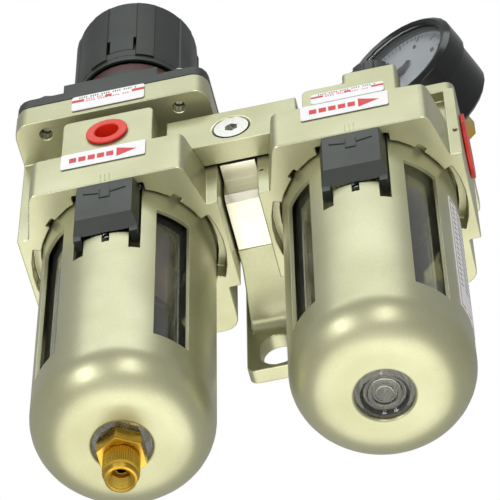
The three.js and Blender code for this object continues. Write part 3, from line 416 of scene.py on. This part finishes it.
def merged(node):
    """A bmesh of a CAD node, with its triangles joined up and its flat faces dissolved."""
    shape = bmesh.new()
    shape.from_mesh(frame["nodes"][node].data)
    bmesh.ops.remove_doubles(shape, verts=shape.verts, dist=weld_gap)
    bmesh.ops.dissolve_limit(shape, angle_limit=math.radians(0.4), verts=shape.verts, edges=shape.edges)
    return shape


def round_edges(piece, radius_mm, segments=2, clamp=True):
    """Rounds the sharp edges of a piece. Those of a painted piece get a lighter coat: wear and a painted
    highlight.

    A clamped bevel shrinks to suit the shortest edge, so the castings, which have tiny bores, go without.
    """
    bevel = piece.modifiers.new("rounding", "BEVEL")
    bevel.width = radius_mm * MM
    bevel.segments = segments
    bevel.limit_method = "ANGLE"
    bevel.angle_limit = math.radians(sharp_angle)
    bevel.miter_outer = "MITER_ARC"
    bevel.use_clamp_overlap = clamp
    if piece.data.materials[0] == finishes["champagne_paint"]:
        piece.data.materials.append(rubbed_edge_and_highlight)
        bevel.material = 1
    flat = piece.modifiers.new("flat_faces", "WEIGHTED_NORMAL")
    flat.keep_sharp = True


def rounded_copy(node, radius_mm, segments=2, clamp=True):
    """Replaces a CAD node by a copy of it with rounded edges."""
    body = frame["nodes"][node]["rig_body"]
    piece = show(node + "_shape", merged(node), body, slot_of[node])
    round_edges(piece, radius_mm, segments, clamp)
    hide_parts(node)


edge_radii = {  # mm
    "filter_regulator_body": 0.35,
    "lubricator_body": 0.35,
    "holder": 0.35,
    "spacer": 0.25,
    "wall_bracket": 0.4,
    "bonnet": 0.5,
    "regulator_knob": 0.35,
    "filter_latch": 0.4,
    "lubricator_latch": 0.4,
    "fill_plug": 0.3,
    "gauge_port_plug": 0.25,
    "inlet_cap": 0.25,
    "outlet_cap": 0.25,
    "drain_body": 0.25,
    "holder_screw": 0.2,
    "gauge_case": 0.4,
    "gauge_elbow": 0.25,
    "feed_screw": 0.2,
    "lock_ring": 0.2,
}
castings = ("filter_regulator_body", "lubricator_body", "holder", "wall_bracket")
for node, radius in edge_radii.items():
    rounded_copy(node, radius, clamp=node not in castings)
print(len(edge_radii), "nodes given rounded edges")

# %% [markdown]
# ## Bowl guards
# A guard is drawn from sheet steel, pierced and then coated. Its outside is a turned shape: a profile is spun
# in steps of 2.5 degrees, the panels where the windows and the latch slot go are removed, and a Solidify
# modifier gives the sheet its thickness. Cutting with booleans would work too, but panels on the spin's own
# grid leave clean edges that the Bevel modifier can round.


# %% Turned shapes
spin_weld = 0.002 * MM


def arc(centre, radius, start, end, steps):
    """Points (radius, height) along a circle, between two angles in degrees."""
    angles = [math.radians(start + (end - start) * i / steps) for i in range(steps + 1)]
    return [(centre[0] + radius * math.cos(a), centre[1] + radius * math.sin(a)) for a in angles]


def spun(profile, axis, steps=96, turn=360, start=-90):
    """Spins a profile of (radius, height) points in mm about a vertical axis given in metres."""
    shape = bmesh.new()
    out = Vector((math.cos(math.radians(start)), math.sin(math.radians(start)), 0))
    points = [shape.verts.new(axis + out * r * MM + Vector((0, 0, z * MM))) for r, z in profile]
    edges = [shape.edges.new(pair) for pair in zip(points, points[1:])]
    bmesh.ops.spin(
        shape, geom=points + edges, cent=axis, axis=(0, 0, 1), angle=math.radians(turn), steps=steps,
        use_merge=turn == 360, use_duplicate=False,
    )
    bmesh.ops.remove_doubles(shape, verts=shape.verts, dist=spin_weld)
    bmesh.ops.recalc_face_normals(shape, faces=shape.faces)
    return shape


def axis_of(node):
    """The vertical axis through the middle of a node, at z = 0."""
    low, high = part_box(node)
    return Vector(((low.x + high.x) / 2, (low.y + high.y) / 2, 0))


bowl_axes = [round(axis_of(node).x / MM, 2) for node in ("filter_bowl", "lubricator_bowl")]
print("bowl axes at x =", bowl_axes, "mm")

# %% [markdown]
# ### Piercing the guards
# Four windows show the level in the bowl. A wide slot at the front, with two arms and a small key below it,
# takes the latch. Two lugs at the rim hook into the head when the bowl is turned by 45 degrees. The slot
# follows the latch's place, so the two still meet if the latch moves in the frame.

# %% Guards and their lugs
guard_wall, guard_corner, guard_hole = 1.4, 14, 9.5  # mm
guard_edge = 0.3
guard_step, window_half = 2.5, 12.5  # degrees
window_angles = (-135, -45, 45, 135)
slot_half, slot_arm, key_half = 22.5, 15, 2.5
window_below_rim, window_above_corner = 16.8, 8  # mm
slot_foot, key_foot, arm_foot = 0.5, 5, 9.5
latch_overlap, lip_radius = 2.6, 1.2


def pierced(angle, height, holes):
    """Whether a panel at this angle from the front, in degrees, and height in mm lies in a hole."""
    return any(a0 < angle < a1 and z0 < height < z1 for a0, a1, z0, z1 in holes)


def bowl_guard(side):
    """Makes one guard, and returns its axis, radius and rim height in mm."""
    node = side + "_bowl_guard"
    axis = axis_of(side + "_bowl")
    low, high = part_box(node)
    bottom, top = low.z / MM, high.z / MM
    radius = (axis.y - low.y) / MM
    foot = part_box(side + "_latch")[0].z / MM + latch_overlap
    window_top, window_bottom = top - window_below_rim, bottom + guard_corner + window_above_corner
    slot_levels = [foot - slot_foot, foot - key_foot, foot - arm_foot]
    levels = [top, window_top] + slot_levels + [window_bottom, bottom + guard_corner]
    corner = arc((radius - guard_corner, bottom + guard_corner), guard_corner, 0, -90, 12)[1:]
    lip = arc((guard_hole + lip_radius, bottom + lip_radius), lip_radius, -90, -180, 4)
    profile = [(radius, z) for z in levels] + corner + lip
    shape = spun(profile, axis, steps=int(360 / guard_step))
    holes = [(a - window_half, a + window_half, window_bottom, window_top) for a in window_angles]
    holes += [(-slot_half, slot_half, slot_levels[0], top), (-key_half, key_half, slot_levels[1], top)]
    holes += [(-slot_half, -slot_arm, slot_levels[2], top), (slot_arm, slot_half, slot_levels[2], top)]
    gone = []
    for face in shape.faces:
        centre = face.calc_center_median() - axis
        angle = math.degrees(math.atan2(centre.x, -centre.y))
        if pierced(angle, centre.z / MM, holes):
            gone.append(face)
    bmesh.ops.delete(shape, geom=gone, context="FACES")
    guard = show(side + "_guard_sheet", shape, frame["nodes"][node]["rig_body"], slot_of[node])
    wall = guard.modifiers.new("sheet", "SOLIDIFY")
    wall.thickness = guard_wall * MM
    wall.offset = -1
    wall.use_even_offset = True
    round_edges(guard, guard_edge)
    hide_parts(node)
    return axis, radius, top


lug_angles, lug_width = (-45, 135), 40  # degrees
lug_high, lug_low, lug_reach, lug_root = 0.8, 4, 2.8, 0.5  # mm from the rim and from the guard's side
for side in ("filter", "lubricator"):
    axis, radius, top = bowl_guard(side)
    for number, angle in enumerate(lug_angles, 1):
        inner, outer = radius - lug_root, radius + lug_reach
        lower, upper = top - lug_low, top - lug_high
        loop = [(inner, lower), (outer, lower), (outer, upper), (inner, upper)]
        lug = spun(loop + loop[:1], axis, steps=16, turn=lug_width, start=angle - lug_width / 2)
        bmesh.ops.holes_fill(lug, edges=lug.edges, sides=4)
        bmesh.ops.recalc_face_normals(lug, faces=lug.faces)
        piece = show(f"{side}_guard_lug_{number}", lug, side + "_bowl_unit", "champagne_paint")
        round_edges(piece, guard_edge)
    print(side, "guard radius", round(radius, 2), "mm")

# %% [markdown]
# ## Clear bowls
# A polycarbonate bowl is a thick-walled moulding. Its outside and inside are two profiles that meet at the
# rim, and light bends in the wall between them, so the wall has to be real. The lubricator's bowl ends in a
# lens with two raised rings, which shows through the hole in its guard.


# %% Bowls
bowl_wall, bowl_corner, bowl_collar = 2.5, 11, 1.9  # mm
guard_gap = 3


def clear_bowl(side, foot):
    """Spins a bowl whose foot, from the axis outwards, is given as (radius, height) points in mm."""
    node = side + "_bowl"
    axis = axis_of(node)
    low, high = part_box(node)
    rim = high.z / MM
    radius = (axis.y - low.y) / MM - bowl_collar
    floor_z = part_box(side + "_bowl_guard")[0].z / MM + guard_gap
    centre = (radius - bowl_corner, floor_z + bowl_corner)
    outside = arc(centre, bowl_corner, -90, 0, 14)
    inside = arc(centre, bowl_corner - bowl_wall, 0, -90, 12)
    shoulder = [(radius, rim - 7.1), (radius + bowl_collar, rim - 6.1), (radius + bowl_collar, rim)]
    end = [(foot[0][0], floor_z + bowl_wall)]
    profile = foot + outside + shoulder + [(radius - bowl_wall, rim)] + inside + end
    closing = foot[:1] if foot[0][0] else []
    bowl = show(side + "_bowl_moulding", spun(profile + closing, axis), side + "_bowl_unit", slot_of[node])
    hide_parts(node)


drain_hole, boss_radius = 4.8, 8.6  # mm
boss_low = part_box("filter_bowl")[0].z / MM
clear_bowl("filter", [(drain_hole, boss_low), (boss_radius, boss_low)])
lens_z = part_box("lubricator_bowl")[0].z / MM
lens_rings = [(0, lens_z + 0.9), (2.6, lens_z + 0.9)]
lens_rings += arc((3.4, lens_z + 0.9), 0.7, -180, -360, 6)
lens_rings += arc((6.2, lens_z + 0.9), 0.9, -180, -360, 6)
lens_rings += [(7.8, lens_z + 0.3), (boss_radius, lens_z + 0.6)]
clear_bowl("lubricator", lens_rings)
print("bowls turned, lens at", round(lens_z, 1), "mm")

# %% [markdown]
# ## Drain knob
# The brass drain knob has a straight knurl of 48 ridges, rolled into its side so that wet fingers can turn
# it, and a thread in its open end for a hose. The knurl is a circle whose every second point is pulled in,
# lofted upwards with bridge_loops. The thread is a spun zigzag, whose rings look like a fine thread's helix.


# %% Drain knob
knurl_points = 96
knurl_dent = 0.95
thread_pitch, thread_outer, thread_inner = 0.9, 3.95, 3.35  # mm


def ring_of_points(shape, axis, radius, height, count, dent=1.0):
    """A closed loop of edges, with every second point pulled in by a factor."""
    made = bmesh.ops.create_circle(shape, segments=count, radius=radius * MM)["verts"]
    for vert in made[::2]:
        vert.co *= dent
    bmesh.ops.translate(shape, verts=made, vec=axis + Vector((0, 0, height * MM)))
    return list({edge for vert in made for edge in vert.link_edges})


def drain_knob():
    """The knurled knob, and the thread in its bore."""
    axis = axis_of("drain_knob")
    low, high = (corner.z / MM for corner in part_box("drain_knob"))
    loops = [
        (3.9, high - 0.2, 1.0), (5.4, high, 1.0),
        (5.95, high - 0.5, knurl_dent), (5.95, low + 3, knurl_dent),
        (5.2, low + 2.6, 1.0), (5.1, low + 0.3, 1.0), (4.5, low, 1.0), (3.9, low + 0.4, 1.0),
        (3.9, high - 0.2, 1.0),
    ]
    shape = bmesh.new()
    edges = [ring_of_points(shape, axis, r, z, knurl_points, dent) for r, z, dent in loops]
    for first, second in zip(edges, edges[1:]):
        bmesh.ops.bridge_loops(shape, edges=first + second)
    bmesh.ops.remove_doubles(shape, verts=shape.verts, dist=spin_weld)
    bmesh.ops.recalc_face_normals(shape, faces=shape.faces)
    knob = show("drain_knob_knurled", shape, "drain", slot_of["drain_knob"], smooth=25)
    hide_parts("drain_knob")
    turns = int((high - low - 1) / thread_pitch)
    zigzag = []
    for i in range(turns):
        zigzag.append((thread_outer, low + 0.6 + thread_pitch * i))
        zigzag.append((thread_inner, low + 0.6 + thread_pitch * (i + 0.5)))
    back_radius = thread_outer + 0.03
    zigzag += [(back_radius, zigzag[-1][1]), (back_radius, zigzag[0][1]), zigzag[0]]
    show("drain_knob_thread", spun(zigzag, axis, 48), "drain", slot_of["drain_knob"], smooth=20)


drain_knob()
print("drain knob has", knurl_points // 2, "ridges")

# %% [markdown]
# ## Labels and marks
# The labels are printed film, so their print is real ink of almost no thickness. Each print is a thin block a
# few hundredths of a millimetre proud of the film. A texture could carry it, but blocks stay sharp close up
# and keep their colour in any export. The words and marks of a real label are left out: plain bars and a flow
# arrow stand for them.


# %% Flat pieces
ink_height = 0.03  # mm


def block(x, y, z, radius=0.0):
    """A box between pairs of limits in mm, with its upright edges (along Y) rounded in plan."""
    shape = bmesh.new()
    bmesh.ops.create_cube(shape, size=1)
    bmesh.ops.scale(shape, verts=shape.verts, vec=[(b - a) * MM for a, b in (x, y, z)])
    bmesh.ops.translate(shape, verts=shape.verts, vec=[(a + b) / 2 * MM for a, b in (x, y, z)])
    if radius:
        along = [e for e in shape.edges if abs(e.verts[0].co.y - e.verts[1].co.y) > 1e-6]
        bmesh.ops.bevel(
            shape, geom=along, offset=radius * MM, offset_type="OFFSET", segments=4, profile=0.5, material=-1,
            affect="EDGES",
        )
    return shape


def film(node, radius):
    """Replaces a flat label by one with rounded corners, and returns its limits in mm."""
    low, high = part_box(node)
    x, y, z = ((a / MM, b / MM) for a, b in zip(low, high))
    piece = show(node + "_film", block(x, y, z, radius), "base", slot_of[node])
    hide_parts(node)
    return x, y, z


def print_bar(name, x, y, z, ink):
    """A printed bar on a label's front, between limits in mm."""
    show(name, block(x, (y[0] - ink_height, y[0] + ink_height), z), "base", "printed_label", ink)


print("ink stands", ink_height, "mm proud")

# %% [markdown]
# ### Labels with rows of small print
# Each head has a label with a broken red band and three rows of small print. A row is a line of dashes, and
# every fifth dash is left out, as the space between two words.


# %% Type labels
dashes_a_word = 5
dash_share = 0.55  # of the pitch between dashes


def type_print(node):
    """A broken red band and three rows of dashes in grey and red ink."""
    x, y, z = film(node, 1.0)
    wide, tall = x[1] - x[0], z[1] - z[0]
    band = (z[0] + 0.56 * tall, z[0] + 0.74 * tall)
    print_bar(node + "_band_left", (x[0], x[0] + 0.17 * wide), y, band, red_ink)
    print_bar(node + "_band_middle", (x[0] + 0.46 * wide, x[0] + 0.55 * wide), y, band, red_ink)
    print_bar(node + "_band_right", (x[1] - 0.17 * wide, x[1]), y, band, red_ink)
    rows = (  # lowest, highest, left and right as shares of the label, number of dashes, ink
        (0.8, 0.92, 0.1, 0.9, 26, grey_ink),
        (0.52, 0.6, 0.2, 0.8, 18, red_ink),
        (0.66, 0.74, 0.2, 0.44, 8, red_ink),
    )
    for row, (lowest, highest, left, right_end, count, ink) in enumerate(rows):
        pitch = (right_end - left) * wide / count
        limits = (z[0] + lowest * tall, z[0] + highest * tall)
        for i in range(count):
            if i % dashes_a_word == dashes_a_word - 1:
                continue
            start = x[0] + left * wide + i * pitch
            print_bar(f"{node}_dash_{row}_{i}", (start, start + dash_share * pitch), y, limits, ink)


type_print("regulator_label")
type_print("lubricator_type_label")
print("type labels printed")

# %% [markdown]
# ### The guard's sticker
# A paper sticker wraps round the side of the lubricator's guard. Its border and lines of print have to bend
# with it, so each is a small rectangle spun through the few degrees that it covers.


# %% Sticker print
border = 0.6  # mm
line_height, line_pitch, line_count = 0.9, 3, 16
line_left, line_right, short_by = -17, 9, 4  # degrees


def sticker_print(name, angles, heights, ink):
    """A bent printed bar on the sticker, between angles in degrees from the right and heights in mm."""
    axis = axis_of("lubricator_bowl")
    outer = (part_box("guard_sticker")[1].x - axis.x) / MM
    sunk, proud = outer - 0.04, outer + ink_height
    loop = [(sunk, heights[0]), (proud, heights[0]), (proud, heights[1]), (sunk, heights[1])]
    turn = angles[1] - angles[0]
    shape = spun(loop + loop[:1], axis, steps=turn, turn=turn, start=angles[0])
    bmesh.ops.holes_fill(shape, edges=shape.edges, sides=4)
    bmesh.ops.recalc_face_normals(shape, faces=shape.faces)
    show(name, shape, "lubricator_bowl_unit", "printed_label", ink)


sticker_low, sticker_high = (corner.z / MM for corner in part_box("guard_sticker"))
lowest, highest = sticker_low + 1, sticker_high - 1
sticker_print("sticker_border_left", (-20, -19), (lowest, highest), brown_ink)
sticker_print("sticker_border_right", (11, 12), (lowest, highest), brown_ink)
sticker_print("sticker_border_top", (-19, 11), (highest - border, highest), brown_ink)
sticker_print("sticker_border_bottom", (-19, 11), (lowest, lowest + border), brown_ink)
for row in range(line_count):
    line = sticker_high - 5 - row * line_pitch
    ends_a_paragraph = row % 4 == 3
    reach = line_right - short_by * ends_a_paragraph
    sticker_print(f"sticker_line_{row:02d}", (line_left, reach), (line, line + line_height), grey_ink)
print("sticker printed with", line_count, "lines")

# %% [markdown]
# ### Flow arrows
# The label on each collar shows which way the air flows. Its shaft is five bars and its head is one triangle,
# extruded through the film's front face so that it stands as proud as the rest of the ink.


# %% Arrow labels
def arrow_print(node):
    """A broad red flow arrow, which points to the outlet."""
    x, y, z = film(node, 0.6)
    wide, tall = x[1] - x[0], z[1] - z[0]
    middle = (z[0] + z[1]) / 2
    for i in range(5):
        start = x[0] + wide * (0.1 + 0.11 * i)
        limits = (middle - 0.16 * tall, middle + 0.16 * tall)
        print_bar(f"{node}_shaft_{i}", (start, start + 0.085 * wide), y, limits, red_ink)
    head = bmesh.new()
    tip, tail, half = x[0] + 0.9 * wide, x[0] + 0.66 * wide, 0.3 * tall
    corners = [(tail, middle - half), (tip, middle), (tail, middle + half)]
    face = head.faces.new([head.verts.new((u * MM, (y[0] - ink_height) * MM, w * MM)) for u, w in corners])
    body = bmesh.ops.extrude_face_region(head, geom=[face])["geom"]
    moved = [v for v in body if isinstance(v, bmesh.types.BMVert)]
    bmesh.ops.translate(head, verts=moved, vec=(0, 2 * ink_height * MM, 0))
    bmesh.ops.recalc_face_normals(head, faces=head.faces)
    show(node + "_head", head, "base", "printed_label", red_ink)


arrow_print("filter_label")
arrow_print("lubricator_name_label")
print("flow arrows printed")

# %% [markdown]
# ### Cast alignment marks and the latches' arrows
# Three fine ribs over each latch show where the bowl is locked, and each latch carries an arrow that says
# which way to pull it. All are raised by about a quarter of a millimetre, cast or moulded with the part.


# %% Raised marks
rib_gap, rib_half = 1.5, 0.12  # mm
mark_edge, mark_root = 0.08, 0.2


def raised_mark(name, x, z, front, body, slot, height=0.25, lean=0.0):
    """A small rounded rib on a face that looks forward. Lean is in degrees."""
    shape = block(x, (front - height, front + mark_root), z)
    bmesh.ops.bevel(
        shape, geom=shape.edges[:], offset=mark_edge * MM, offset_type="OFFSET", segments=2, profile=0.5,
        material=-1, affect="EDGES",
    )
    if lean:
        middle = Vector(((x[0] + x[1]) / 2, front, (z[0] + z[1]) / 2)) * MM
        bmesh.ops.rotate(
            shape, verts=shape.verts, cent=middle, matrix=Matrix.Rotation(math.radians(lean), 3, "Y")
        )
    show(name, shape, body, slot)


for side, head in (("filter", "filter_regulator_body"), ("lubricator", "lubricator_body")):
    x = axis_of(side + "_bowl").x / MM
    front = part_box(head)[0].y / MM
    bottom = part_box(head)[0].z / MM
    rib_heights = (bottom + 0.8, bottom + 4.6)
    for number, offset in enumerate((-rib_gap, 0, rib_gap), 1):
        rib = (x + offset - rib_half, x + offset + rib_half)
        raised_mark(f"{side}_lock_mark_{number}", rib, rib_heights, front, "base", "champagne_paint")
    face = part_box(side + "_latch")[0].y / MM
    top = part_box(side + "_latch")[1].z / MM - 5.3
    body = side + "_latch"
    shaft, barb = (top - 8.4, top - 3.4), (top - 5.2, top - 4.8)
    arrow = (
        ((x - 1.9, x - 1.5), shaft, 0), ((x + 1.5, x + 1.9), shaft, 0),
        ((x - 7.4, x - 1.7), barb, 12), ((x + 1.7, x + 7.4), barb, -12),
        ((x - 1.9, x + 1.9), (top - 8.6, top - 8.2), 0),
    )
    for number, (span, heights, lean) in enumerate(arrow, 1):
        raised_mark(f"{side}_latch_arrow_{number}", span, heights, face, body, "slate_plastic", 0.3, lean)
print("marks raised")

# %% [markdown]
# ## Gauge dial
# The dial is printed metal with a scale over three quarters of a circle. The ticks are thin blocks turned
# about the dial's centre, and the numbers are text made into meshes. Everything is drawn flat about the
# origin, then one matrix carries it to the dial, so that each finished piece's place is in its mesh.


# %% Dial marks
tilt = math.radians(25)  # how far to the left of straight ahead the gauge looks
dial_clearance = 0.45  # mm from the middle of the dial's sheet to the back of the ink
scale_start, scale_end, steps = 225, -45, 50
rim_gap, major_tick, minor_tick = 1.2, 4.6, 3  # mm from the dial's edge
major_width, minor_width = 0.35, 0.18
number_gap, number_height = 7.2, 3.6
dial_low, dial_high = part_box("gauge_dial")
dial_centre = (dial_low + dial_high) / 2
depth = Vector((math.sin(tilt), math.cos(tilt), 0))
across = Vector((math.cos(tilt), -math.sin(tilt), 0))
up = Vector((0, 0, 1))
dial_turn = Matrix((across, up, -depth)).transposed().to_4x4()
dial_place = Matrix.Translation(dial_centre - depth * dial_clearance * MM) @ dial_turn
dial_radius = (dial_high.z - dial_low.z) / 2 / MM


def dial_piece(name, shape, ink):
    """Carries a mark, drawn flat about the origin, to the dial."""
    bmesh.ops.transform(shape, matrix=dial_place, verts=shape.verts)
    bmesh.ops.recalc_face_normals(shape, faces=shape.faces)
    show(name, shape, "base", "printed_label", ink)


def tick(name, angle, inner, outer, width, ink):
    """A tick at an angle in degrees anticlockwise from the right, between two radii in mm."""
    shape = block((inner, outer), (-width / 2, width / 2), (0, 0.12))
    turned = Matrix.Rotation(math.radians(angle), 3, "Z")
    bmesh.ops.rotate(shape, verts=shape.verts, cent=(0, 0, 0), matrix=turned)
    dial_piece(name, shape, ink)


def number_at(name, text, angle, radius, size):
    """A number on the dial, made a mesh before it is put in its place."""
    font = bpy.data.curves.new(name, "FONT")
    font.body, font.size, font.extrude = text, size * MM, 0.04 * MM
    font.align_x, font.align_y = "CENTER", "CENTER"
    scratch = bpy.data.objects.new(name, font)
    scene.collection.objects.link(scratch)
    bpy.context.view_layer.update()
    mesh = bpy.data.meshes.new_from_object(scratch)
    bpy.data.objects.remove(scratch)
    shape = bmesh.new()
    shape.from_mesh(mesh)
    bpy.data.meshes.remove(mesh)
    bmesh.ops.remove_doubles(shape, verts=shape.verts, dist=1e-7)
    a = math.radians(angle)
    place = (radius * MM * math.cos(a), radius * MM * math.sin(a), 0.06 * MM)
    bmesh.ops.translate(shape, verts=shape.verts, vec=place)
    dial_piece(name, shape, black_ink)


sweep = scale_end - scale_start
for i in range(steps + 1):
    major = i % 5 == 0
    inner = dial_radius - (major_tick if major else minor_tick)
    width = major_width if major else minor_width
    angle = scale_start + sweep * i / steps
    tick(f"dial_tick_{i:02d}", angle, inner, dial_radius - rim_gap, width, black_ink)
for i, value in enumerate(("0", "2", "4", "6", "8", "10")):
    angle = scale_start + sweep * i / 5
    number_at(f"dial_number_{value}", value, angle, dial_radius - number_gap, number_height)
print("dial scale drawn at radius", round(dial_radius, 1), "mm")
